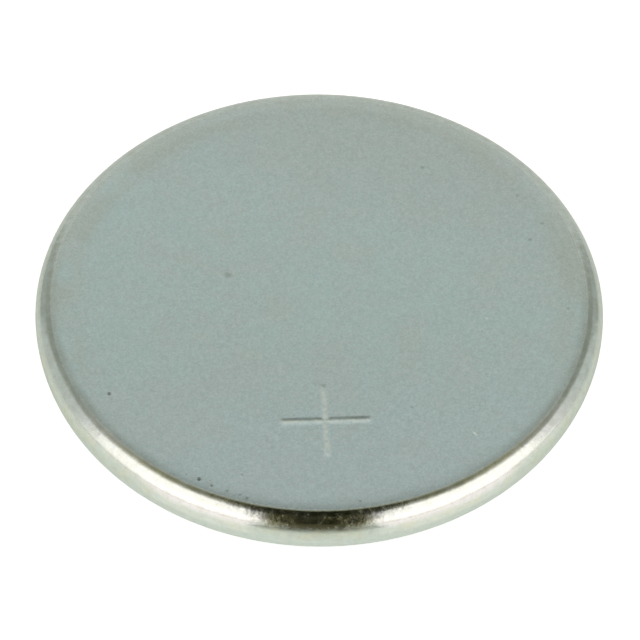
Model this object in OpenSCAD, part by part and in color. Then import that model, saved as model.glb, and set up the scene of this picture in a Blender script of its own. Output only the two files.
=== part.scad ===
// Lithium coin cell, 12.5 mm across and 1.6 mm high, lying on its negative cap.
// The origin is the centre of the negative face, and +Z points out of the positive face. The plus
// sign lies towards -Y.
// A deep-drawn steel can is curled over a moulded gasket, which holds a stepped steel cap.
// Between them lie the lithium disc, the separator, the cathode pellet and its collector grid.

/* [Cell] */
// Diameter over the can
cell_d = 12.5; // [10:0.1:16]
// Height from the negative face to the positive face
cell_h = 1.6; // [1.3:0.05:2]

/* [Positive can] */
// Thickness of the can's sheet
can_wall = 0.2; // [0.15:0.01:0.25]
// Outer radius between the positive face and the side
shoulder_r = 0.38; // [0.3:0.01:0.5]
// Height of the straight band between the shoulder and the curl
side_h = 0.06; // [0.02:0.01:0.15]
// Angle that the side curls through, towards the cap
curl_angle = 68; // [55:1:82]
// Height of the curl's lip above the negative face
lip_rise = 0.13; // [0.08:0.01:0.2]

/* [Polarity mark] */
// Length of both bars of the plus sign that is stamped in the positive face
mark_l = 2; // [1:0.1:3]
// Width of the bars
mark_w = 0.18; // [0.08:0.01:0.3]
// Depth of the bars
mark_depth = 0.03; // [0.02:0.005:0.05]
// Distance of the plus sign's near end from the edge of the cell
mark_margin = 1.85; // [1:0.05:2.5]

/* [Negative cap] */
// Thickness of the cap's sheet
cap_wall = 0.2; // [0.15:0.01:0.25]
// Width of the ledge between the cap's face and its skirt
ledge_w = 0.6; // [0.5:0.01:0.75]
// Outer radius round the cap's face
face_bend_r = 0.3; // [0.25:0.01:0.35]
// Outer radius in the corner between the riser and the ledge
step_bend_r = 0.1; // [0.05:0.01:0.12]
// Outer radius between the ledge and the skirt
skirt_bend_r = 0.3; // [0.25:0.01:0.4]

/* [Gasket] */
// Thickness of the gasket between the can's side and the cap's skirt
seal_wall = 0.35; // [0.28:0.01:0.45]
// Thickness of the gasket where the curl squeezes it against the skirt's corner
squeeze_t = 0.17; // [0.12:0.01:0.22]
// Thickness of the gasket's foot, between the skirt's end and the can
foot_t = 0.26; // [0.2:0.01:0.32]
// Reach of the foot inwards past the skirt
foot_reach = 0.65; // [0.4:0.05:0.9]
// Height of the gasket's bare ring above the negative face
bead_z = 0.17; // [0.1:0.01:0.25]
// Gap left between the gasket and the metal it seals
seal_play = 0.02; // [0.01:0.01:0.04]

/* [Electrodes] */
// Thickness of the lithium disc
lithium_t = 0.3; // [0.2:0.01:0.36]
// Gap round the lithium disc inside the cap
lithium_play = 0.2; // [0.1:0.05:0.4]
// Thickness of the separator
separator_t = 0.16; // [0.1:0.01:0.2]
// Gap round the separator inside the cap
separator_play = 0.02; // [0.01:0.01:0.1]
// Gap round the cathode pellet inside the gasket's foot
pellet_play = 0.1; // [0.05:0.05:0.3]
// Chamfer round both faces of the pellet
pellet_chamfer = 0.08; // [0.02:0.01:0.15]

/* [Collector grid] */
// Thickness of the collector grid
grid_t = 0.1; // [0.05:0.01:0.15]
// Width of the pellet's face left bare round the grid
grid_margin = 0.15; // [0.1:0.05:0.5]
// Width of the grid's plain rim
grid_rim = 0.2; // [0.1:0.05:0.4]
// Length of one diamond of the grid, along X
grid_pitch_x = 1.4; // [1:0.1:2]
// Width of one diamond of the grid, along Y
grid_pitch_y = 0.9; // [0.7:0.1:1.4]
// Width of the strands between the openings
strand_w = 0.16; // [0.1:0.01:0.25]

/* [Hidden] */
$fn = 72;

// A length to a ten-thousandth of a millimetre, so that arcs and straights end at one point
function fine(x) = round(x * 10000) / 10000;

// Can: the shoulder's centre, and the curl, which takes up the height that is left
can_r = cell_d / 2;
shoulder_x = can_r - shoulder_r;
shoulder_z = cell_h - shoulder_r;
curl_z = shoulder_z - side_h;
curl_r = fine((curl_z - lip_rise) / sin(curl_angle));
curl_x = can_r - curl_r;
mark_y = can_r - mark_margin - mark_l / 2;

// Cap: the skirt follows from the can and the gasket, and the face from the skirt. The ledge lies
// where the skirt's corner leaves the gasket its thickness inside the curl.
skirt_r = can_r - can_wall - seal_wall;
skirt_end_z = cell_h - can_wall - foot_t - 2 * seal_play;
corner_x = skirt_r - skirt_bend_r;
corner_reach = curl_r - can_wall - squeeze_t - skirt_bend_r;
corner_z = fine(curl_z - sqrt(corner_reach ^ 2 - (corner_x - curl_x) ^ 2));
ledge_z = corner_z - skirt_bend_r;
cap_face_r = skirt_r - ledge_w;
step_x = cap_face_r + step_bend_r;
step_z = ledge_z - step_bend_r;

// Gasket: the bore of its foot, which centres the pellet
foot_bore_r = skirt_r - cap_wall - foot_reach;

// Stack of discs, from the cap up to the can
lithium_z = cap_wall;
lithium_r = cap_face_r - cap_wall - lithium_play;
separator_z = lithium_z + lithium_t;
separator_r = cap_face_r - cap_wall - separator_play;
pellet_z = separator_z + separator_t;
pellet_r = foot_bore_r - pellet_play;
grid_z = cell_h - can_wall - grid_t;
grid_r = pellet_r - grid_margin;
pellet_t = grid_z - pellet_z;

// Half of a section from the axis out to r, between two heights
module band(r, z_low, z_high) {
    translate([0, z_low]) square([r, z_high - z_low]);
}

// What a round about centre takes off a square corner, which lies on the side that side points to.
// It runs on past the corner, so that no film of it is left.
module corner_waste(centre, r, side) {
    translate(centre) difference() {
        translate([min(side.x, 0) * 2 * r, min(side.y, 0) * 2 * r]) square(2 * r);
        circle(r);
    }
}

// Half-section of the can's outside, moved inwards by inset and closed below as if the curl ran on
module can_outline(inset) {
    curl_inset_r = curl_r - inset;
    difference() {
        band(can_r - inset, curl_z - curl_inset_r, cell_h - inset);
        corner_waste([shoulder_x, shoulder_z], shoulder_r - inset, [1, 1]);
        corner_waste([curl_x, curl_z], curl_inset_r, [1, -1]);
    }
}

// Everything below the curl's centre that lies past the end of its lip, cleared by play
module past_the_lip(play) {
    reach = 2 * curl_r;
    top_x = curl_x - play;
    polygon([
        [0, curl_z],
        [top_x, curl_z],
        [top_x + reach * cos(curl_angle), curl_z - reach * sin(curl_angle)],
        [0, curl_z - reach * sin(curl_angle)]
    ]);
}

// Half-section of the room under the cap's ledge, outside its riser, moved inwards by inset
module under_ledge(inset) {
    difference() {
        translate([cap_face_r - inset, -cell_h]) square([cell_d, ledge_z + inset + cell_h]);
        corner_waste([step_x, step_z], step_bend_r + inset, [-1, 1]);
    }
}

// Half-section of the cap's underside, moved inwards by inset and filled up to the height top
module cap_outline(inset, top) {
    difference() {
        band(skirt_r - inset, inset, top);
        under_ledge(inset);
        corner_waste([cap_face_r - face_bend_r, face_bend_r], face_bend_r - inset, [1, -1]);
        corner_waste([corner_x, corner_z], skirt_bend_r - inset, [1, -1]);
    }
}

// Half-section of the can's sheet, grown by play on every side
module can_section(play) {
    difference() {
        can_outline(-play);
        can_outline(can_wall + play);
        past_the_lip(play);
    }
}

// Tool that stamps the plus sign, reaching as far above the positive face as below it
module plus_stamp() {
    translate([0, -mark_y, cell_h - mark_depth]) linear_extrude(2 * mark_depth) {
        square([mark_l, mark_w], center = true);
        square([mark_w, mark_l], center = true);
    }
}

module positive_can() {
    color([0.63, 0.68, 0.65]) difference() {
        rotate_extrude() can_section(0);
        plus_stamp();
    }
}

module negative_cap() {
    color([0.7, 0.7, 0.66]) rotate_extrude() difference() {
        cap_outline(0, skirt_end_z);
        cap_outline(cap_wall, skirt_end_z + cap_wall);
    }
}

// Moulded ring: a bare bead beside the lip, a wall round the skirt and a foot over its end
module sealing_gasket() {
    color([0.16, 0.16, 0.17]) rotate_extrude() difference() {
        intersection() {
            can_outline(0);
            band(cell_d, bead_z, 2 * cell_h);
        }
        can_section(seal_play);
        cap_outline(-seal_play, skirt_end_z + seal_play);
        band(foot_bore_r, 0, cell_h);
    }
}

module lithium_disc() {
    color([0.62, 0.63, 0.66]) translate([0, 0, lithium_z]) cylinder(h = lithium_t, r = lithium_r);
}

module separator() {
    color([0.93, 0.93, 0.9]) translate([0, 0, separator_z]) cylinder(h = separator_t, r = separator_r);
}

// Pressed disc with a chamfer round each face
module cathode_pellet() {
    color([0.1, 0.1, 0.1]) translate([0, 0, pellet_z]) rotate_extrude() polygon([
        [0, 0],
        [pellet_r - pellet_chamfer, 0],
        [pellet_r, pellet_chamfer],
        [pellet_r, pellet_t - pellet_chamfer],
        [pellet_r - pellet_chamfer, pellet_t],
        [0, pellet_t]
    ]);
}

// One opening of the grid, as wide and long as the strands round it leave
module grid_opening() {
    diagonal = norm([grid_pitch_x, grid_pitch_y]);
    half_x = fine(grid_pitch_x / 2 - strand_w * diagonal / grid_pitch_y / 2);
    half_y = fine(grid_pitch_y / 2 - strand_w * diagonal / grid_pitch_x / 2);
    polygon([[half_x, 0], [0, half_y], [-half_x, 0], [0, -half_y]]);
}

// Flat expanded mesh: rows of diamonds, every other row set over by half a diamond,
// with the openings that the rim cuts by more than half left closed
module collector_grid() {
    mesh_r = grid_r - grid_rim;
    rows = ceil(2 * mesh_r / grid_pitch_y);
    columns = ceil(mesh_r / grid_pitch_x);
    color([0.66, 0.66, 0.64]) translate([0, 0, grid_z]) linear_extrude(grid_t) difference() {
        circle(grid_r);
        intersection() {
            circle(mesh_r);
            union() for (row = [-rows:rows], column = [-columns:columns]) {
                shift = row % 2 == 0 ? 0 : 0.5;
                centre = [(column + shift) * grid_pitch_x, row * grid_pitch_y / 2];
                if (norm(centre) < mesh_r) translate(centre) grid_opening();
            }
        }
    }
}

positive_can();
negative_cap();
sealing_gasket();
lithium_disc();
separator();
cathode_pellet();
collector_grid();
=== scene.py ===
"""Looks of a lithium coin cell, 12.5 mm across and 1.6 mm high, lying with its positive face up.

The can, the cap and the gasket are turned from their profiles and replace their CAD nodes. The
discs inside the cell keep their CAD meshes. The plus sign of the can lies towards -Y.
"""

import math
from collections import namedtuple

import bpy
from mathutils import Matrix, Vector
from mathutils.geometry import delaunay_2d_cdt


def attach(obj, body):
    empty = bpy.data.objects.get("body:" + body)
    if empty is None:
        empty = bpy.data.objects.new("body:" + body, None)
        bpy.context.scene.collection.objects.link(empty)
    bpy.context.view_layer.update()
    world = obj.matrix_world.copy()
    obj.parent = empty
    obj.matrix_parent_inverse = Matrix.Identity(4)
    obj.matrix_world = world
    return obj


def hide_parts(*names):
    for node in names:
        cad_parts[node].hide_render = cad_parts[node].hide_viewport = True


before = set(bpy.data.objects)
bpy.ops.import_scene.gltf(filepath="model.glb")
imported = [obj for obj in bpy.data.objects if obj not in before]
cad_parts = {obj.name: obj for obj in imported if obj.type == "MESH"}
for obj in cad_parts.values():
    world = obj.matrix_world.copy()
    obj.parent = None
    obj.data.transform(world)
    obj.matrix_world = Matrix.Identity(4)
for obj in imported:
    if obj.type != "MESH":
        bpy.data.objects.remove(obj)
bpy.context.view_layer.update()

MM = 0.001

# Distance in millimetres at which two points of a half-section are one
SAME_POINT = 0.001

# Can, in millimetres, as in the CAD
CAN_R = 6.25
CAN_TOP_Z = 1.6
CAN_WALL = 0.2
SHOULDER_R = 0.38
SIDE_H = 0.06
CURL_R = 1.1109
CURL_ANGLE = 68
LIP_EDGE_R = 0.03
FACE_R = CAN_R - SHOULDER_R
SHOULDER_Z = CAN_TOP_Z - SHOULDER_R
CURL_X = CAN_R - CURL_R
CURL_Z = SHOULDER_Z - SIDE_H
CAN_SEGMENTS = 288

# Edge of the face, which rolls off from ROLL_R to EDGE_SLOPE degrees before the shoulder, and the
# height down to which the shoulder curves
ROLL_R = 5.58
EDGE_SLOPE = 9
SHOULDER_END_Z = 1.18
SHOULDER_STEPS = 30

# Plus sign: its centre, half the length of its bars, where they run out before and past that, their
# depth and the strength of the painted highlight laid in them. A bar is steep on the side of its
# back or right wall and slopes up gently on the other. The lines of points along a bar are given by
# their distances from its middle.
MARK_Y = -3.4
MARK_HALF = 1.0
MARK_RUN_OUT = (-0.08, 0.03)
STEEP_WALL = (0.01, 0.10)
GENTLE_WALL = (0.0, 0.13)
MARK_DEPTH = 0.02
MARK_HIGHLIGHT = 0.48
MARK_LINES = (-0.22, -0.17, -0.14, -0.11, -0.08, -0.05, -0.02, 0, 0.01, 0.03, 0.05, 0.07, 0.085,
              0.1, 0.13)
MARK_STEPS = 66

# Points of the face: the spacing of its rings, the rings on its edge with their number of points,
# and the radius that all of them keep within
FACE_SPACING = 0.3
EDGE_RINGS = (ROLL_R, 5.62, 5.68, 5.73, 5.78)
EDGE_POINTS = 240
FACE_POINTS_R = 5.79

# Pits and the nick, in shares of their radius or half length and half width: from where to where
# their walls run, and their dark stains and painted highlights, the rings of points round a pit,
# and the reach of the points round the nick
PIT_WALL = (0.1, 1.0)
PIT_STAIN_AND_HIGHLIGHT = (0.2, 1.3)
PIT_RINGS = (0.25, 0.45, 0.65, 0.82, 1, 1.3, 1.8)
PIT_POINTS = 16
NICK_WALL = (0.2, 1.0)
NICK_HIGHLIGHT = (0.2, 1.1)
NICK_REACH = (1.4, 1.6)
NICK_STEPS = (9, 6)

# Cap
CAP_WALL = 0.2
CAP_FACE_R = 5.1
CAP_SKIRT_R = 5.7
FACE_BEND_R = 0.3
STEP_BEND_R = 0.1
SKIRT_BEND_R = 0.3
LEDGE_Z = 0.5046
SKIRT_END_Z = 1.1
SKIRT_EDGE_R = 0.05
BEND_X = CAP_FACE_R - FACE_BEND_R
STEP_X = CAP_FACE_R + STEP_BEND_R
STEP_Z = LEDGE_Z - STEP_BEND_R
CORNER_X = CAP_SKIRT_R - SKIRT_BEND_R
CORNER_Z = LEDGE_Z + SKIRT_BEND_R

# Gasket, whose bead shows between the can's lip and the cap. It follows the can's curl down to
# SEAL_ANGLE and the bend round the cap's face up from BEND_SEAL_ANGLE.
SEAL_PLAY = 0.02
SEAL_ANGLE = 69
BEND_SEAL_ANGLE = 8
FOOT_BORE_R = 4.85
FOOT_Z = 1.12
BEAD_Z = 0.17
BEAD_EDGE_R = 0.07
BEAD_OUTER_R = 5.5
BEAD_INNER_R = 5.1

# Segments of the cap and the gasket, and the angle from which the gasket's edges are sharp
RING_SEGMENTS = 256
SHARP_ANGLE = 40

# Where the photo was taken from: degrees, millimetres, and what the camera aims at beside and
# above the middle of the cell
VIEW_TURN = 2.8
VIEW_ELEVATION = 50.31
VIEW_ROLL = 0.5
VIEW_DISTANCE = 200
VIEW_LENS = 510.2
VIEW_AIM_RIGHT = 0.0192
VIEW_AIM_UP = 0.0725


# Half-sections and turned solids

def arc(centre_x, centre_z, radius, start, end, steps):
    """Points of an arc in a half-section. Angles are in degrees from +X towards +Z."""
    points = []
    for i in range(steps + 1):
        angle = math.radians(start + (end - start) * i / steps)
        points.append((centre_x + radius * math.cos(angle), centre_z + radius * math.sin(angle)))
    return points


def without_repeats(points):
    """The same points, but for those that lie on the one before."""
    kept = [points[0]]
    for point in points[1:]:
        if math.dist(point, kept[-1]) > SAME_POINT:
            kept.append(point)
    return kept


def circle(centre_x, centre_y, radius, count, shift=0.0):
    """Points evenly spaced on a circle, set over by a share of their spacing."""
    angles = [2 * math.pi * (i + shift) / count for i in range(count)]
    return [(centre_x + radius * math.cos(angle), centre_y + radius * math.sin(angle))
            for angle in angles]


def join_rings(faces, ring, next_ring):
    """Appends the faces between two rings, either of which may be one point on the axis."""
    count = max(len(ring), len(next_ring))
    for i in range(count):
        j = (i + 1) % count
        if len(ring) == 1:
            faces.append((ring[0], next_ring[i], next_ring[j]))
        elif len(next_ring) == 1:
            faces.append((ring[i], next_ring[0], ring[j]))
        else:
            faces.append((ring[i], next_ring[i], next_ring[j], ring[j]))


def add_turned(vertices, faces, profile, segments):
    """Appends a half-section turned round the axis, and returns its first and last ring. The
    half-section runs clockwise round the solid, seen with +X to the right."""
    rings = []
    for radius, height in without_repeats(profile):
        first = len(vertices)
        if radius < SAME_POINT:
            vertices.append((0.0, 0.0, height))
        else:
            vertices += [(x, y, height) for x, y in circle(0, 0, radius, segments)]
        rings.append(list(range(first, len(vertices))))
    for ring, next_ring in zip(rings, rings[1:]):
        join_rings(faces, ring, next_ring)
    return rings[0], rings[-1]


def make_piece(name, node, vertices, faces):
    """A smooth piece from vertices in millimetres, in place of a CAD node."""
    mesh = bpy.data.meshes.new(name)
    mesh.from_pydata([(x * MM, y * MM, z * MM) for x, y, z in vertices], [], faces)
    mesh.validate()
    mesh.shade_smooth()
    piece = bpy.data.objects.new(name, mesh)
    bpy.context.scene.collection.objects.link(piece)
    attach(piece, "root")
    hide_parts(node)
    return piece


# Positive can

Pit = namedtuple("Pit", "x y radius depth darkness")
Nick = namedtuple("Nick", "x y half_length half_width depth brightness turn")

# Pits in the positive face, and a nick whose turn is in degrees. A pit of negative darkness, like
# the nick, gets a painted highlight instead of a stain.
PITS = tuple(Pit(*values) for values in (
    (-4.69, -2.49, 0.060, 0.016, 0.75),
    (-2.81, -4.94, 0.060, 0.020, 1.0),
    (-2.54, -5.14, 0.055, 0.010, 0.5),
    (-1.88, -4.86, 0.055, 0.006, 0.35),
    (2.45, 3.74, 0.060, 0.005, 0.4),
    (4.51, 2.84, 0.065, 0.004, 0.32),
    (5.02, 2.01, 0.060, 0.004, 0.3),
    (4.73, 1.55, 0.070, 0.005, 0.4),
    (5.45, -0.46, 0.065, 0.004, 0.35),
    (1.89, -3.11, 0.055, 0.004, 0.35),
    (-1.98, 0.76, 0.130, 0.010, 0.35),
    (-3.09, -4.80, 0.040, 0.004, 0.35),
    (-2.58, -5.00, 0.035, 0.003, 0.30),
    (-2.22, -5.29, 0.045, 0.004, 0.45),
    (-1.94, -5.41, 0.050, 0.004, 0.45),
    (-1.79, -5.50, 0.045, 0.004, 0.50),
    (-1.67, -5.58, 0.040, 0.003, 0.45),
    (0.64, -5.68, 0.045, 0.004, 0.45),
    (-4.12, -3.09, 0.045, 0.003, 0.30),
    (3.66, -0.65, 0.050, 0.004, -0.4),
    (2.14, -2.38, 0.035, 0.003, -0.3),
))
NICK = Nick(3.22, -3.88, 0.11, 0.035, 0.008, 0.9, -55)


def smooth(low, high, value):
    """0 below low, 1 above high, and a smooth step between them."""
    t = min(max((value - low) / (high - low), 0.0), 1.0)
    return t * t * (3 - 2 * t)


def bar_depth(along, across):
    """Share of the plus sign's depth at a point of one of its bars."""
    run_out = [MARK_HALF + reach for reach in MARK_RUN_OUT]
    end = 1 - smooth(*run_out, abs(along))
    return end * (1 - smooth(*STEEP_WALL, across)) * (1 - smooth(*GENTLE_WALL, -across))


def mark_depth(x, y):
    """Share of the plus sign's depth at a point of the face."""
    return max(bar_depth(x, y - MARK_Y), bar_depth(y - MARK_Y, x))


def pit_distance(pit, x, y):
    """Distance from a pit's centre, where 1 is its edge."""
    return math.hypot(x - pit.x, y - pit.y) / pit.radius


def nick_distance(x, y):
    """Distance from the nick's centre, where 1 is its edge."""
    angle = math.radians(NICK.turn)
    along = (x - NICK.x) * math.cos(angle) + (y - NICK.y) * math.sin(angle)
    across = (y - NICK.y) * math.cos(angle) - (x - NICK.x) * math.sin(angle)
    return math.hypot(along / NICK.half_length, across / NICK.half_width)


def face_height(x, y):
    """Height of the positive face at a point, which the plus sign, pits and nick lower."""
    height = CAN_TOP_Z - MARK_DEPTH * mark_depth(x, y)
    past = max(math.hypot(x, y) - ROLL_R, 0.0)
    height -= math.tan(math.radians(EDGE_SLOPE)) * past ** 2 / (2 * (FACE_R - ROLL_R))
    for pit in PITS:
        height -= pit.depth * (1 - smooth(*PIT_WALL, pit_distance(pit, x, y)))
    return height - NICK.depth * (1 - smooth(*NICK_WALL, nick_distance(x, y)))


def face_stain_and_highlight(x, y):
    """Darkness of the marks at a point of the face: the pits' dark stains. It is below 0 where a
    painted highlight is laid, on the plus sign, the nick and the pits of negative darkness.
    """
    stain_and_highlight = -MARK_HIGHLIGHT * mark_depth(x, y)
    for pit in PITS:
        stain_and_highlight += pit.darkness * (1 - smooth(*PIT_STAIN_AND_HIGHLIGHT, pit_distance(pit, x, y)))
    return stain_and_highlight - NICK.brightness * (1 - smooth(*NICK_HIGHLIGHT, nick_distance(x, y)))


def ring_points():
    """Points in rings over the whole of the positive face."""
    points = []
    radii = [ring * FACE_SPACING for ring in range(1, int(ROLL_R / FACE_SPACING) + 1)]
    for ring, radius in enumerate(radii + list(EDGE_RINGS)):
        count = max(8, int(2 * math.pi * radius / FACE_SPACING))
        if radius >= ROLL_R:
            count = EDGE_POINTS
        points += circle(0, 0, radius, count, 0.5 * (ring % 2))
    return points


def mark_points():
    """Points in lines along both bars of the plus sign."""
    points = []
    for across in MARK_LINES:
        for i in range(MARK_STEPS + 1):
            along = 1.1 * MARK_HALF * (2 * i / MARK_STEPS - 1)
            points.append((along, MARK_Y + across))
            points.append((across, MARK_Y + along))
    return points


def pit_points():
    """Points at the middle of each pit and in rings round it."""
    points = []
    for pit in PITS:
        points.append((pit.x, pit.y))
        for share in PIT_RINGS:
            points += circle(pit.x, pit.y, share * pit.radius, PIT_POINTS)
    return points


def nick_points():
    """Points in a grid over the nick."""
    points = []
    angle = math.radians(NICK.turn)
    along_steps, across_steps = NICK_STEPS
    for i in range(-along_steps, along_steps + 1):
        for j in range(-across_steps, across_steps + 1):
            along = NICK_REACH[0] * NICK.half_length * i / along_steps
            across = NICK_REACH[1] * NICK.half_width * j / across_steps
            points.append((NICK.x + along * math.cos(angle) - across * math.sin(angle),
                           NICK.y + along * math.sin(angle) + across * math.cos(angle)))
    return points


def face_points():
    """Points of the positive face inside its edge, closest together at its marks."""
    points = ring_points() + mark_points() + pit_points() + nick_points()
    return [(x, y) for x, y in points if math.hypot(x, y) < FACE_POINTS_R]


def shoulder():
    """Points of the shoulder, a quarter of an ellipse cut short where the face's edge meets it."""
    slope = math.tan(math.radians(EDGE_SLOPE))
    height = CAN_TOP_Z - slope * (FACE_R - ROLL_R) / 2 - SHOULDER_END_Z
    share = slope * SHOULDER_R / height
    start = math.acos(share / (1 - share))
    half_width = SHOULDER_R / (1 - math.cos(start))
    half_height = height / math.sin(start)
    points = []
    for i in range(SHOULDER_STEPS + 1):
        angle = start * (1 - i / SHOULDER_STEPS)
        points.append((CAN_R - half_width * (1 - math.cos(angle)),
                       SHOULDER_END_Z + half_height * math.sin(angle)))
    return points


def can_profile():
    """The can's half-section from the edge of its face, down, round the lip and up inside."""
    inner_r = CURL_R - CAN_WALL
    outer_lip_r = CURL_R - LIP_EDGE_R
    inner_lip_r = inner_r + LIP_EDGE_R
    outer_end = math.degrees(math.asin(LIP_EDGE_R / outer_lip_r)) - CURL_ANGLE
    inner_end = math.degrees(math.asin(LIP_EDGE_R / inner_lip_r)) - CURL_ANGLE
    outer_lip = arc(CURL_X, CURL_Z, outer_lip_r, outer_end, outer_end, 1)[0]
    inner_lip = arc(CURL_X, CURL_Z, inner_lip_r, inner_end, inner_end, 1)[0]
    lip_side = -CURL_ANGLE - 90
    profile = shoulder()
    profile += arc(CURL_X, CURL_Z, CURL_R, 0, outer_end, 44)
    profile += arc(*outer_lip, LIP_EDGE_R, outer_end, lip_side, 5)
    profile += arc(*inner_lip, LIP_EDGE_R, lip_side, inner_end - 180, 5)
    profile += arc(CURL_X, CURL_Z, inner_r, inner_end, 0, 24)
    profile += arc(FACE_R, SHOULDER_Z, SHOULDER_R - CAN_WALL, 0, 90, 8)
    profile.append((0.0, CAN_TOP_Z - CAN_WALL))
    return profile


def make_can():
    """The can: a face of uneven triangles that carries its marks, and the rest turned."""
    vertices = []
    faces = []
    edge, _ = add_turned(vertices, faces, can_profile(), CAN_SEGMENTS)
    outline = [Vector(vertices[i][:2]) for i in edge]
    inside = [Vector(point) for point in face_points()]
    rim = [(i, (i + 1) % CAN_SEGMENTS) for i in range(CAN_SEGMENTS)]
    # Only the triangles inside the rim are asked for. sources tells which points went into one
    only_inside = 1
    merge_distance = 0.0005
    points, _, triangles, sources, _, _ = delaunay_2d_cdt(
        outline + inside, rim, [], only_inside, merge_distance)
    numbers = []
    stains_and_highlights = {}
    for point, origins in zip(points, sources):
        rim_origins = [origin for origin in origins if origin < CAN_SEGMENTS]
        if rim_origins:
            numbers.append(edge[rim_origins[0]])
        else:
            numbers.append(len(vertices))
            stains_and_highlights[len(vertices)] = face_stain_and_highlight(*point)
            vertices.append((*point, face_height(*point)))
    faces += [tuple(numbers[i] for i in triangle) for triangle in triangles]
    can = make_piece("can_shell", "positive_can", vertices, faces)
    stain_and_highlight = can.data.attributes.new("stain_and_highlight", "FLOAT", "POINT")
    for number, value in stains_and_highlights.items():
        stain_and_highlight.data[number].value = value
    return can


# Cap and gasket

def cap_profile():
    """The cap's half-section, out along its inner face and back along its outer face."""
    end_z = SKIRT_END_Z - SKIRT_EDGE_R
    profile = [(0.0, CAP_WALL)]
    profile += arc(BEND_X, FACE_BEND_R, FACE_BEND_R - CAP_WALL, -90, 0, 6)
    profile += arc(STEP_X, STEP_Z, STEP_BEND_R + CAP_WALL, 180, 90, 10)
    profile += arc(CORNER_X, CORNER_Z, SKIRT_BEND_R - CAP_WALL, -90, 0, 6)
    profile += arc(CAP_SKIRT_R - CAP_WALL + SKIRT_EDGE_R, end_z, SKIRT_EDGE_R, 180, 90, 4)
    profile += arc(CAP_SKIRT_R - SKIRT_EDGE_R, end_z, SKIRT_EDGE_R, 90, 0, 4)
    profile += arc(CORNER_X, CORNER_Z, SKIRT_BEND_R, 0, -90, 12)
    profile += arc(STEP_X, STEP_Z, STEP_BEND_R, 90, 180, 8)
    profile += arc(BEND_X, FACE_BEND_R, FACE_BEND_R, 0, -90, 16)
    profile.append((0.0, 0.0))
    return profile


def gasket_profile():
    """The gasket's half-section, from the top of its foot round the outside to its bore."""
    seal_r = CURL_R - CAN_WALL - SEAL_PLAY
    bead_z = BEAD_Z + BEAD_EDGE_R
    profile = [(FOOT_BORE_R, CAN_TOP_Z - CAN_WALL - SEAL_PLAY)]
    profile += arc(FACE_R, SHOULDER_Z, SHOULDER_R - CAN_WALL - SEAL_PLAY, 90, 0, 8)
    profile += arc(CURL_X, CURL_Z, seal_r, 0, -SEAL_ANGLE, 24)
    profile += arc(BEAD_OUTER_R - BEAD_EDGE_R, bead_z, BEAD_EDGE_R, 0, -90, 6)
    profile += arc(BEAD_INNER_R + BEAD_EDGE_R, bead_z, BEAD_EDGE_R, -90, -180, 6)
    profile += arc(BEND_X, FACE_BEND_R, FACE_BEND_R + SEAL_PLAY, -BEND_SEAL_ANGLE, 0, 2)
    profile += arc(STEP_X, STEP_Z, STEP_BEND_R - SEAL_PLAY, 180, 90, 6)
    profile += arc(CORNER_X, CORNER_Z, SKIRT_BEND_R + SEAL_PLAY, -90, 0, 10)
    profile += [(CAP_SKIRT_R + SEAL_PLAY, FOOT_Z), (FOOT_BORE_R, FOOT_Z)]
    return profile


def make_cap():
    """The cap, whose half-section begins and ends on the axis."""
    vertices = []
    faces = []
    add_turned(vertices, faces, cap_profile(), RING_SEGMENTS)
    return make_piece("cap_shell", "negative_cap", vertices, faces)


def make_gasket():
    """The gasket, a closed ring with some sharp edges."""
    vertices = []
    faces = []
    first, last = add_turned(vertices, faces, gasket_profile(), RING_SEGMENTS)
    join_rings(faces, last, first)
    gasket = make_piece("gasket_ring", "sealing_gasket", vertices, faces)
    gasket.data.set_sharp_from_angle(angle=math.radians(SHARP_ANGLE))
    return gasket


# Materials

class Nodes:
    """Makes and links the nodes of a tree. A value that a node takes is a number, a colour or
    another node's output."""

    def __init__(self, tree):
        self.tree = tree

    def node(self, kind, *values):
        """A new node, whose first sockets take the values."""
        node = self.tree.nodes.new(kind)
        for socket, value in zip(node.inputs, values):
            self.feed(socket, value)
        return node

    def feed(self, socket, value):
        """Links an output to a socket, or sets the socket's own value."""
        if isinstance(value, bpy.types.NodeSocket):
            self.tree.links.new(value, socket)
        else:
            socket.default_value = value

    def calculate(self, operation, *values):
        """A number worked out from others."""
        node = self.node("ShaderNodeMath", *values)
        node.operation = operation
        return node.outputs[0]

    def product(self, first, *others):
        """The product of numbers."""
        for other in others:
            first = self.calculate("MULTIPLY", first, other)
        return first

    def vector(self, operation, *values, scale=None):
        """A vector worked out from others, or its length."""
        node = self.node("ShaderNodeVectorMath", *values)
        node.operation = operation
        if scale is not None:
            self.feed(node.inputs["Scale"], scale)
        return node.outputs["Value" if operation == "LENGTH" else "Vector"]

    def step(self, value, start, end, low=0.0, high=1.0):
        """A smooth step from low, where value is start, to high, where it is end."""
        node = self.node("ShaderNodeMapRange", value, start, end, low, high)
        node.interpolation_type = "SMOOTHSTEP"
        return node.outputs["Result"]


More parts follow.
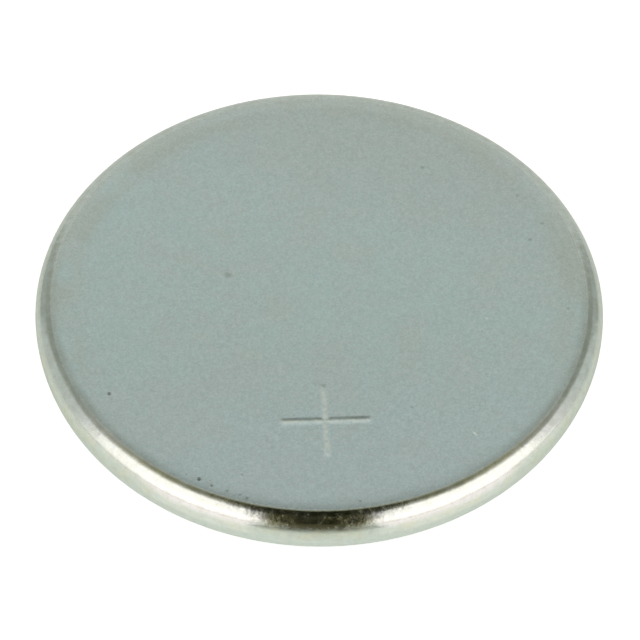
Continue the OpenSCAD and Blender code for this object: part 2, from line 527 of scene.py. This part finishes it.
class Recipe(Nodes):
    """The nodes of one material, which know a point's place in millimetres."""

    def __init__(self, name):
        self.material = bpy.data.materials.new(name)
        self.material.use_nodes = True
        super().__init__(self.material.node_tree)
        self.shader = self.tree.nodes["Principled BSDF"]
        place = self.node("ShaderNodeTexCoord").outputs["Object"]
        self.place = self.vector("SCALE", place, scale=1 / MM)

    def coordinates(self):
        """A point's X, Y and Z."""
        return self.node("ShaderNodeSeparateXYZ", self.place).outputs

    def radius(self):
        """A point's distance from the cell's axis."""
        return self.vector("LENGTH", self.vector("MULTIPLY", self.place, (1, 1, 0)))

    def mix(self, share, colour, other, kind="MIX"):
        """Two colours mixed, or the second laid over the first in another kind of blend."""
        node = self.node("ShaderNodeMix")
        node.data_type = "RGBA"
        node.blend_type = kind
        # A mix of colours takes its share in socket 0 and the colours in 6 and 7, and gives 2
        self.feed(node.inputs[0], share)
        self.feed(node.inputs[6], colour)
        self.feed(node.inputs[7], other)
        return node.outputs[2]

    def grain(self, scale, detail=3.0, roughness=0.5, stretch=(1, 1, 1), shift=(0, 0, 0)):
        """Noise from 0 to 1 with as many blobs to the millimetre as scale says."""
        place = self.vector("MULTIPLY", self.place, stretch)
        node = self.node("ShaderNodeTexNoise")
        self.feed(node.inputs["Vector"], self.vector("ADD", place, shift))
        self.feed(node.inputs["Scale"], scale)
        self.feed(node.inputs["Detail"], detail)
        self.feed(node.inputs["Roughness"], roughness)
        return node.outputs["Fac"]

    def bump(self, height, depth_mm, normal=None):
        """The shader's normal over a height from 0 to 1 that is depth_mm deep."""
        node = self.node("ShaderNodeBump")
        self.feed(node.inputs["Height"], height)
        self.feed(node.inputs["Distance"], depth_mm * MM)
        if normal is not None:
            self.feed(node.inputs["Normal"], normal)
        return node.outputs["Normal"]

    def finish(self, colour, roughness, normal, metallic=0.0, **settings):
        """Feeds the shader and returns the material."""
        self.feed(self.shader.inputs["Base Color"], colour)
        self.feed(self.shader.inputs["Roughness"], roughness)
        self.feed(self.shader.inputs["Normal"], normal)
        self.shader.inputs["Metallic"].default_value = metallic
        for name, value in settings.items():
            self.shader.inputs[name.replace("_", " ")].default_value = value
        return self.material


def can_face_colour(r, radius, x, y):
    """The face's cool grey, with warmer patches, painted light towards the front and painted shade
    towards the back, tarnish towards its edge, and darkening at its edge that is partly grime and
    partly painted shade.
    """
    cool_grey = (0.428, 0.530, 0.508, 1)
    warm_grey = (0.440, 0.514, 0.486, 1)
    front_grey_painted_light = (0.455, 0.538, 0.538, 1)
    back_grey_painted_shade = (0.420, 0.478, 0.452, 1)
    face = r.mix(r.step(r.grain(0.9, 4, 0.6), 0.35, 0.65), cool_grey, warm_grey)
    # Painted light makes the face lighter towards the front, and painted shade makes it darker
    # towards the back
    face = r.mix(r.step(y, -1.0, -5.5, 0, 0.7), face, front_grey_painted_light)
    toward_back = r.calculate("ADD", y, r.product(x, 0.35))
    face = r.mix(r.step(toward_back, 1.5, 5.5, 0, 0.9), face, back_grey_painted_shade)

    green_specks = r.step(r.grain(13, 2), 0.45, 0.75, 0, 0.3)
    face = r.mix(green_specks, face, (0.39, 0.535, 0.51, 1))
    pink_specks = r.step(r.grain(11, 2, shift=(5, 2, 0)), 0.5, 0.8, 0, 0.3)
    face = r.mix(pink_specks, face, (0.52, 0.49, 0.50, 1))

    tarnish = r.product(r.step(radius, 5.1, 5.6),
                        r.step(r.grain(0.6, 3), 0.38, 0.6, 0.05, 0.55),
                        r.step(y, -3.5, 0.5, 0.1, 1))
    face = r.mix(tarnish, face, (0.405, 0.445, 0.385, 1))
    # Partly grime and partly painted shade: darker near the face's edge, more in front and at the
    # sides than at the back
    grime_and_edge_shade = r.product(r.step(radius, 5.68, 5.90),
                      r.step(r.grain(1.6, 4, 0.6), 0.3, 0.7, 0.25, 0.6),
                      r.step(y, 3, -3, 0.35, 1),
                      r.step(y, -4.2, -5.4, 1, 0.25))
    return r.mix(grime_and_edge_shade, face, (0.24, 0.25, 0.20, 1))


def can_shoulder_colour(r, toward_front, x, y, z):
    """The shoulder's grey, with a painted highlight in front, where the grey is made brighter, a
    painted dark reflection in brown at the middle of the front and along the top of the highlight,
    and a line of painted shade along its top."""
    blotch = r.step(r.grain(4.5, 3, 0.6, shift=(0, 5, 0)), 0.35, 0.65)
    grey = r.mix(blotch, (0.425, 0.475, 0.430, 1), (0.388, 0.430, 0.378, 1))
    # Painted highlight: a brighter grey in front, where the lamps' reflection lies
    bright = r.mix(blotch, (0.690, 0.690, 0.655, 1), (0.650, 0.650, 0.600, 1))
    highlight_area = r.product(r.step(y, -2.2, -4.5), r.step(z, 1.582, 1.568))
    shoulder_tone = r.mix(highlight_area, grey, bright)

    # Painted reflection: brown and dark where the camera's side is mirrored at the middle of the
    # front, and along the top edge of the highlight
    middle = r.step(toward_front, -0.977, -0.991)
    dark_reflection_brown = r.product(r.calculate("MAXIMUM", middle, r.step(z, 1.525, 1.560)),
                      r.step(z, 1.582, 1.570),
                      r.step(y, -3.0, -4.8),
                      r.step(r.grain(3, 3), 0.3, 0.6, 0.6, 0.95))
    shoulder_tone = r.mix(dark_reflection_brown, shoulder_tone, (0.38, 0.37, 0.20, 1))
    # Painted shade: a dark line along the top of the shoulder, where the face bends into it
    shade_line = r.product(r.step(z, 1.515, 1.545),
                     r.step(z, 1.578, 1.562),
                     r.step(y, 2.5, -1.5),
                     r.step(x, -2.5, 0.0, 0.75, 1),
                     r.step(r.grain(2.6, 3), 0.3, 0.6, 0.45, 0.65))
    return r.mix(shade_line, shoulder_tone, (0.200, 0.215, 0.165, 1))


def can_side_colour(r, y, z):
    """The side's yellowish and greenish patches, paler low down, and a little lighter in front,
    which is painted light.
    """
    patches = r.step(r.grain(2.2, 3, 0.5), 0.35, 0.65)
    side = r.mix(patches, (0.515, 0.570, 0.505, 1), (0.54, 0.567, 0.460, 1))
    side = r.mix(r.step(r.grain(5.5, 3), 0.42, 0.7, 0, 0.6), side, (0.485, 0.545, 0.470, 1))
    side = r.mix(r.step(z, 1.15, 0.85, 0, 0.8), side, (0.535, 0.590, 0.540, 1))
    # Painted light: the side is made a little lighter in front
    return r.vector("SCALE", side, scale=r.step(y, -2.0, -4.5, 1.0, 1.05))


def can_steel():
    """Nickel-plated steel: a satin face, and a shoulder and side that the drawing has burnished,
    with painted light, highlights and shade on them.
    """
    r = Recipe("can_nickel_steel")
    radius = r.radius()
    x, y, z = r.coordinates()
    above = r.step(z, 1.4, 1.45)
    on_face = r.product(above, r.step(radius, 5.84, 5.93, 1, 0))
    mottle = r.grain(7, 4, 0.65)
    speckle = r.grain(24, 2, 0.6)

    # -1 at the middle of the front. Beside it, the polish and the shoulder's painted highlight
    # reach further down, and the side gets a painted highlight that makes it lighter
    toward_front = r.calculate("DIVIDE", r.calculate("ADD", y, r.product(x, 0.05)), radius)
    beside = r.product(r.step(toward_front, -0.985, -0.968), r.step(y, -4.4, -5.2))
    polish_z = r.calculate("ADD", z, r.product(beside, 0.12))
    side = r.mix(r.step(polish_z, 1.28, 1.46), can_side_colour(r, y, z),
                 can_shoulder_colour(r, toward_front, x, y, z))
    # Painted highlight: lighter beside the middle of the front, where the lamps' reflection runs
    # down the side
    side_highlight = r.product(r.step(z, 1.50, 1.40), r.step(z, 0.92, 1.08), beside)
    side = r.mix(side_highlight, side, (1.17, 1.13, 1.15, 1), "MULTIPLY")
    colour = r.mix(on_face, side, can_face_colour(r, radius, x, y))

    # Fine differences of tone, the dark stains of the marks, and the painted highlight on the plus
    # sign, the nick and some pits
    fine = r.mix(on_face, r.step(speckle, 0.25, 0.75, -0.03, 0.03),
                 r.step(speckle, 0.25, 0.75, -0.09, 0.09))
    tone = r.calculate("ADD", r.step(mottle, 0.2, 0.8, -0.055, 0.055), fine)
    colour = r.vector("SCALE", colour, scale=r.calculate("ADD", tone, 1.0))
    attribute = r.node("ShaderNodeAttribute")
    attribute.attribute_name = "stain_and_highlight"
    stain_and_highlight = attribute.outputs["Fac"]
    colour = r.mix(r.step(stain_and_highlight, 0, 1, 0, 0.8), colour, (0.07, 0.075, 0.060, 1))
    # Painted highlight: a pale colour in glinting specks where the stain value is below 0
    shine = r.product(r.step(stain_and_highlight, 0, -1), r.step(r.grain(9, 2), 0.4, 0.62, 0.3, 1.0))
    colour = r.mix(shine, colour, (0.76, 0.77, 0.65, 1))

    # The shoulder is polished at its top and duller down to the curl, and the face is satin
    smear = r.grain(6, 3, 0.55, stretch=(1, 1, 0.5))
    polish = r.mix(r.step(polish_z, 1.40, 1.24), r.step(smear, 0.3, 0.7, 0.12, 0.18),
                   r.step(smear, 0.3, 0.7, 0.37, 0.47))
    scuffs = r.step(r.grain(8, 3, 0.6, shift=(0, 0, 4)), 0.50, 0.74, 0, 0.14)
    polish = r.calculate("ADD", polish, scuffs)
    satin = r.product(r.step(radius, 5.78, 5.96, 1, 0), above)
    rough = r.mix(satin, polish, r.step(mottle, 0.25, 0.75, 0.32, 0.40))

    # The mottle and scuffs that the drawing leaves down the side, and the grain of all the sheet
    off_face = r.step(on_face, 0, 1, 1, 0)
    normal = r.bump(r.product(r.grain(5, 3, 0.5, shift=(3, 0, 0)), off_face), 0.005)
    scuff = r.product(r.grain(12, 3, 0.6, shift=(0, 8, 0)), off_face)
    normal = r.bump(scuff, 0.0014, normal)
    normal = r.bump(r.grain(22, 4, 0.65), 0.0012, normal)
    return r.finish(colour, rough, normal, metallic=1.0, Specular_Tint=(0.82, 0.83, 0.80, 1))


def cap_steel():
    """Nickel-plated steel with a satin face, which its contact has rubbed round the middle."""
    r = Recipe("cap_nickel_steel")
    radius = r.radius()
    z = r.coordinates()["Z"]
    mottle = r.grain(8, 4, 0.6)
    patches = r.step(r.grain(0.8, 3, shift=(9, 4, 0)), 0.38, 0.64)
    colour = r.mix(patches, (0.46, 0.47, 0.42, 1), (0.52, 0.52, 0.46, 1))
    edge = r.product(r.step(radius, 4.6, 5.0), r.step(z, 0.3, 0.1), 0.5)
    colour = r.mix(edge, colour, (0.60, 0.60, 0.54, 1))
    dirt = r.product(r.step(radius, 5.0, 5.1), r.step(r.grain(4, 3), 0.35, 0.65, 0.2, 0.6))
    colour = r.mix(dirt, colour, (0.26, 0.26, 0.23, 1))
    colour = r.vector("SCALE", colour, scale=r.step(mottle, 0.2, 0.8, 0.94, 1.05))

    rubbed = r.product(r.step(radius, 0.6, 1.4), r.step(radius, 2.2, 3.4, 1, 0))
    scratch = r.grain(3, 4, 0.7, stretch=(0.4, 14, 1))
    shine = r.product(rubbed, r.step(scratch, 0.45, 0.6), 0.12)
    rough = r.calculate("SUBTRACT", r.step(mottle, 0.25, 0.75, 0.30, 0.40), shine)
    normal = r.bump(r.product(scratch, rubbed), 0.0012)
    normal = r.bump(r.grain(20, 4, 0.65), 0.0014, normal)
    return r.finish(colour, rough, normal, metallic=1.0)


def gasket_resin():
    """Moulded dark resin with a fine grain and a dusty, paler bloom."""
    r = Recipe("gasket_dark_resin")
    bloom = r.grain(2.5, 4, 0.6)
    colour = r.mix(r.step(bloom, 0.4, 0.7), (0.020, 0.021, 0.023, 1), (0.045, 0.045, 0.046, 1))
    rough = r.step(bloom, 0.3, 0.7, 0.42, 0.6)
    return r.finish(colour, rough, r.bump(r.grain(18, 4, 0.6), 0.004))


def lithium_metal():
    """Soft rolled metal, silver where fresh and dull grey where it has tarnished."""
    r = Recipe("rolled_lithium")
    tarnish = r.grain(0.9, 5, 0.65)
    lines = r.grain(2.5, 4, 0.6, stretch=(0.15, 5, 1))
    colour = r.mix(r.step(tarnish, 0.42, 0.62), (0.62, 0.62, 0.60, 1), (0.33, 0.33, 0.36, 1))
    colour = r.vector("SCALE", colour, scale=r.step(lines, 0.3, 0.7, 0.92, 1.05))
    rough = r.step(tarnish, 0.35, 0.65, 0.34, 0.6)
    return r.finish(colour, rough, r.bump(lines, 0.006), metallic=1.0)


def separator_fleece():
    """White fleece of fine fibres that lie every way."""
    r = Recipe("fibre_fleece")
    fibres = r.grain(3, 2, 0.5, stretch=(1.2, 16, 1))
    for number, stretch in enumerate(((16, 1.2, 1), (9, 9, 1)), 1):
        more = r.grain(3, 2, 0.5, stretch=stretch, shift=(7 * number, 0, 0))
        fibres = r.calculate("MAXIMUM", fibres, more)
    clouds = r.grain(1.3, 3)
    colour = r.mix(r.step(fibres, 0.45, 0.75), (0.70, 0.70, 0.67, 1), (0.86, 0.86, 0.83, 1))
    colour = r.vector("SCALE", colour, scale=r.step(clouds, 0.3, 0.7, 0.94, 1.02))
    return r.finish(colour, r.step(fibres, 0.4, 0.8, 0.85, 0.7), r.bump(fibres, 0.03))


def cathode_mix():
    """Pressed black powder with graphite that glints."""
    r = Recipe("pressed_black_powder")
    grains = r.node("ShaderNodeTexVoronoi", r.place)
    grains.inputs["Scale"].default_value = 14
    glint = r.step(grains.outputs["Color"], 0.72, 0.9)
    clouds = r.grain(1.1, 4)
    colour = r.mix(glint, (0.018, 0.018, 0.019, 1), (0.085, 0.085, 0.09, 1))
    colour = r.vector("SCALE", colour, scale=r.step(clouds, 0.3, 0.7, 0.8, 1.25))
    rough = r.calculate("SUBTRACT", 0.85, r.product(glint, 0.4))
    return r.finish(colour, rough, r.bump(r.grain(16, 4, 0.7), 0.012))


def grid_steel():
    """Thin stainless sheet, cut and pulled into diamonds."""
    r = Recipe("expanded_steel")
    lines = r.grain(4, 4, 0.6, stretch=(0.3, 4, 1))
    patches = r.step(r.grain(1.2, 3), 0.4, 0.62)
    colour = r.mix(patches, (0.50, 0.50, 0.48, 1), (0.42, 0.41, 0.38, 1))
    rough = r.step(lines, 0.3, 0.7, 0.26, 0.4)
    return r.finish(colour, rough, r.bump(lines, 0.003), metallic=1.0)


def give(piece, material):
    """Makes material the piece's only one."""
    piece.data.materials.clear()
    piece.data.materials.append(material)


give(make_can(), can_steel())
give(make_cap(), cap_steel())
give(make_gasket(), gasket_resin())
give(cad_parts["lithium_disc"], lithium_metal())
give(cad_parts["separator"], separator_fleece())
give(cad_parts["cathode_pellet"], cathode_mix())
give(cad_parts["collector_grid"], grid_steel())


# Studio, in metres

# Directions of the photo's view on the table: to the right, and towards the camera
TURN = math.radians(VIEW_TURN)
RIGHT = Vector((math.cos(TURN), -math.sin(TURN), 0))
TOWARD = Vector((-math.sin(TURN), -math.cos(TURN), 0))
UPWARD = Vector((0, 0, 1))

# Soft lamps to the left and the right of the camera
LAMP_AZIMUTH = 128
LAMP_ELEVATION = 34
LAMP_DISTANCE = 0.25
LAMP_WIDTH = 0.29
LAMP_HEIGHT = 0.35
LAMP_RADIANCE = 1.53
LAMP_COLOUR = (1.0, 0.99, 0.96)
LAMP_BACK_GAP = 0.002

# Colours of the cards
BLACK = (0, 0, 0)
DARK = (0.018, 0.020, 0.010)
GREY = (0.69, 0.70, 0.68)
DIM = (0.49, 0.50, 0.48)

# Cards bent round the cell: name, distance, colour, and rows that are an elevation and the azimuths
# between which the card runs at that height
CAMERA_CARDS_DISTANCE = 0.09
CEILING_CARDS = (
    ("ceiling", 0.1, DARK, ((77, 0, 360), (83, 0, 360), (89.9, 0, 360))),
    ("back_ceiling", 0.12, GREY, ((46, -80, 80), (56, -75, 75), (66, -60, 60))),
    ("back_ceiling_top", 0.12, DIM, ((66, -100, 100), (72, -100, 100), (78, -100, 100))),
)
CAMERA_CARDS = (
    ("camera_side", CAMERA_CARDS_DISTANCE, DARK, (
        (28, 162, 198), (38, 159, 201), (48, 156, 204), (57, 152, 208), (65, 144, 216),
        (72, 126, 234), (79, 95, 265))),
    ("camera_table", CAMERA_CARDS_DISTANCE, (0.11, 0.105, 0.07), (
        (-0.2, 166, 194), (28, 162, 198))),
)
CARD_STEPS = 12

# Cards on both sides: the gap behind each lamp, and the softer lower part of the lamp. Azimuths are
# those of the right side, and the left side mirrors them. A row of LOW_LIGHTS is the elevations
# between which the light runs, and its brightness.
SIDES = ((-1, "left"), (1, "right"))
SIDE_CARDS_DISTANCE = 0.13
GAP_ROWS = ((0, 36, 57), (50, 30, 60))
LOW_AZIMUTHS = (92, 162)
LOW_LIGHTS = ((-0.2, 6, 0.95), (6, 10, 1.15), (10, 14, 1.30), (14, 18, 1.42))
LOW_WARMTH = (1, 1, 0.96)

# Strip in front of the cell that only the metal's reflections show, painted shade for the table
# darkened on the camera's side: colour, height, and the distance and azimuth of each corner
STRIP_COLOUR = (0.13, 0.125, 0.085)
STRIP_RISE = 0.02 * MM
STRIP_NEAR = (CAN_R + 2.6) * MM
STRIP_CORNERS = ((STRIP_NEAR, 164), (STRIP_NEAR, 196),
                 (CAMERA_CARDS_DISTANCE, 194), (CAMERA_CARDS_DISTANCE, 166))

# Floor: how far it reaches and how far below the cell it lies, and the glow on top of its colour
# for the rays that show it
FLOOR_HALF = 3.0
FLOOR_GAP = 0.01 * MM
FLOOR_COLOUR = (0.8, 0.8, 0.8, 1)
FLOOR_GLOWS = (("Is Camera Ray", 0.58), ("Is Glossy Ray", 0.34), ("Is Transmission Ray", 0.5))

# Strength of the world as a light, and as what is seen of it
WORLD_LIGHT = 0.35
WORLD_SEEN = 1.0


def toward_sky(azimuth, elevation):
    """A direction from the cell. Azimuth 0 is away from the camera and 90 is to the right."""
    a = math.radians(azimuth)
    e = math.radians(elevation)
    return math.cos(e) * (math.sin(a) * RIGHT - math.cos(a) * TOWARD) + math.sin(e) * UPWARD


def placing(right, up, out, position):
    """The placing of a lamp or the camera, which looks the other way than out."""
    place = Matrix((right, up, out)).transposed().to_4x4()
    place.translation = position
    return place


def add_object(name, data):
    """A new object in the scene."""
    added = bpy.data.objects.new(name, data)
    bpy.context.scene.collection.objects.link(added)
    return added


def add_card(name, vertices, faces, colour):
    """A plain card of one colour that only the metal's reflections show."""
    mesh = bpy.data.meshes.new(name)
    mesh.from_pydata(vertices, [], faces)
    material = bpy.data.materials.new(name)
    material.use_nodes = True
    material.node_tree.nodes.clear()
    nodes = Nodes(material.node_tree)
    glow = nodes.node("ShaderNodeEmission", (*colour, 1))
    nodes.node("ShaderNodeOutputMaterial", glow.outputs[0])
    mesh.materials.append(material)
    card = add_object(name, mesh)
    for rays in ("camera", "diffuse", "transmission", "volume_scatter", "shadow"):
        setattr(card, "visible_" + rays, False)


def add_softbox(name, azimuth):
    """A soft lamp beside the camera, whose reflection is the bright patch on the shoulder. The
    black card behind it keeps the white world from shining through it in the metal."""
    lamp = bpy.data.lights.new(name, "AREA")
    lamp.shape = "RECTANGLE"
    lamp.size = LAMP_WIDTH
    lamp.size_y = LAMP_HEIGHT
    lamp.color = LAMP_COLOUR
    lamp.energy = LAMP_RADIANCE * math.pi * lamp.size * lamp.size_y
    out = toward_sky(azimuth, LAMP_ELEVATION)
    up = out.cross(UPWARD.cross(out).normalized()).normalized()
    place = placing(up.cross(out), up, out, LAMP_DISTANCE * out)
    holder = add_object(name, lamp)
    holder.matrix_world = place
    holder.visible_camera = False
    half_x = lamp.size / 2
    half_y = lamp.size_y / 2
    corners = [place @ Vector((x, y, LAMP_BACK_GAP)) for x, y in (
        (-half_x, -half_y), (half_x, -half_y), (half_x, half_y), (-half_x, half_y))]
    add_card(name + "_back", corners, [(0, 1, 2, 3)], BLACK)


def add_curved_card(name, distance, colour, rows):
    """A card bent round the cell at a distance."""
    vertices = []
    faces = []
    for elevation, start, end in rows:
        for i in range(CARD_STEPS + 1):
            azimuth = start + (end - start) * i / CARD_STEPS
            vertices.append(distance * toward_sky(azimuth, elevation))
    for row in range(len(rows) - 1):
        for i in range(CARD_STEPS):
            corner = row * (CARD_STEPS + 1) + i
            faces.append((corner, corner + 1, corner + CARD_STEPS + 2, corner + CARD_STEPS + 1))
    add_card(name, vertices, faces, colour)


def add_cards():
    """What the metal reflects of the room: the ceiling, the gaps behind the lamps, the softer lower
    part of the lamps, and the side of the camera, which also darkens the table before the cell."""
    for card in CEILING_CARDS:
        add_curved_card(*card)
    for sign, side in SIDES:
        rows = [(elevation, sign * start, sign * end) for elevation, start, end in GAP_ROWS]
        add_curved_card(side + "_gap", SIDE_CARDS_DISTANCE, GREY, rows)
    for sign, side in SIDES:
        start, end = [sign * azimuth for azimuth in LOW_AZIMUTHS]
        for number, (low, high, light) in enumerate(LOW_LIGHTS, 1):
            colour = [light * share for share in LOW_WARMTH]
            add_curved_card(f"{side}_low_{number}", SIDE_CARDS_DISTANCE, colour,
                            ((low, start, end), (high, start, end)))
    for card in CAMERA_CARDS:
        add_curved_card(*card)
    strip = [distance * toward_sky(azimuth, 0) + STRIP_RISE * UPWARD
             for distance, azimuth in STRIP_CORNERS]
    add_card("painted_table_shade", strip, [(0, 1, 2, 3)], STRIP_COLOUR)


def add_floor():
    """A pale floor that looks white to the camera and in the metal, and keeps the shadow. It is
    clear from below and right under the cap, so that the underside can be looked at."""
    mesh = bpy.data.meshes.new("floor")
    corners = [(x * FLOOR_HALF, y * FLOOR_HALF, -FLOOR_GAP)
               for x, y in ((-1, -1), (1, -1), (1, 1), (-1, 1))]
    mesh.from_pydata(corners, [], [(0, 1, 2, 3)])
    material = bpy.data.materials.new("pale_floor")
    material.use_nodes = True
    material.node_tree.nodes.clear()
    nodes = Nodes(material.node_tree)
    surface = nodes.node("ShaderNodeBsdfDiffuse", FLOOR_COLOUR).outputs[0]
    rays = nodes.node("ShaderNodeLightPath").outputs
    for kind, strength in FLOOR_GLOWS:
        glow = nodes.node("ShaderNodeEmission", (1, 1, 1, 1), nodes.product(rays[kind], strength))
        surface = nodes.node("ShaderNodeAddShader", surface, glow.outputs[0]).outputs[0]
    point = nodes.node("ShaderNodeNewGeometry").outputs
    reach = nodes.vector("LENGTH", point["Position"])
    under_cap = nodes.calculate("LESS_THAN", reach, CAP_FACE_R * MM)
    is_clear = nodes.calculate("MAXIMUM", point["Backfacing"], under_cap)
    clear = nodes.node("ShaderNodeBsdfTransparent").outputs[0]
    choice = nodes.node("ShaderNodeMixShader", is_clear, surface, clear)
    nodes.node("ShaderNodeOutputMaterial", choice.outputs[0])
    mesh.materials.append(material)
    add_object("floor", mesh)


def set_world():
    """A white world for what the camera and the metal see, and a dimmer one that lights."""
    world = bpy.data.worlds.new("studio")
    world.use_nodes = True
    nodes = Nodes(world.node_tree)
    rays = nodes.node("ShaderNodeLightPath").outputs
    seen = rays["Is Camera Ray"]
    for kind in ("Is Glossy Ray", "Is Transmission Ray"):
        seen = nodes.calculate("MAXIMUM", seen, rays[kind])
    strength = nodes.node("ShaderNodeMapRange", seen, 0.0, 1.0, WORLD_LIGHT, WORLD_SEEN)
    background = world.node_tree.nodes["Background"]
    nodes.feed(background.inputs["Color"], (1, 1, 1, 1))
    nodes.feed(background.inputs["Strength"], strength.outputs["Result"])
    bpy.context.scene.world = world


def add_camera():
    """The camera at the photo's place, with the photo's slight roll."""
    elevation = math.radians(VIEW_ELEVATION)
    roll = math.radians(VIEW_ROLL)
    back = math.cos(elevation) * TOWARD + math.sin(elevation) * UPWARD
    right = math.cos(roll) * RIGHT + math.sin(roll) * back.cross(RIGHT)
    up = back.cross(right)
    aim = Vector((0, 0, CAN_TOP_Z / 2)) + VIEW_AIM_RIGHT * right + VIEW_AIM_UP * up
    lens = bpy.data.cameras.new("camera")
    lens.lens = VIEW_LENS
    lens.sensor_width = 36
    lens.clip_start = 0.01
    lens.clip_end = 20
    camera = add_object("camera", lens)
    camera.matrix_world = placing(right, up, back, MM * (aim + VIEW_DISTANCE * back))
    bpy.context.scene.camera = camera


add_softbox("softbox_left", -LAMP_AZIMUTH)
add_softbox("softbox_right", LAMP_AZIMUTH)
add_cards()
add_floor()
set_world()
add_camera()
bpy.context.scene.view_settings.view_transform = "Standard"
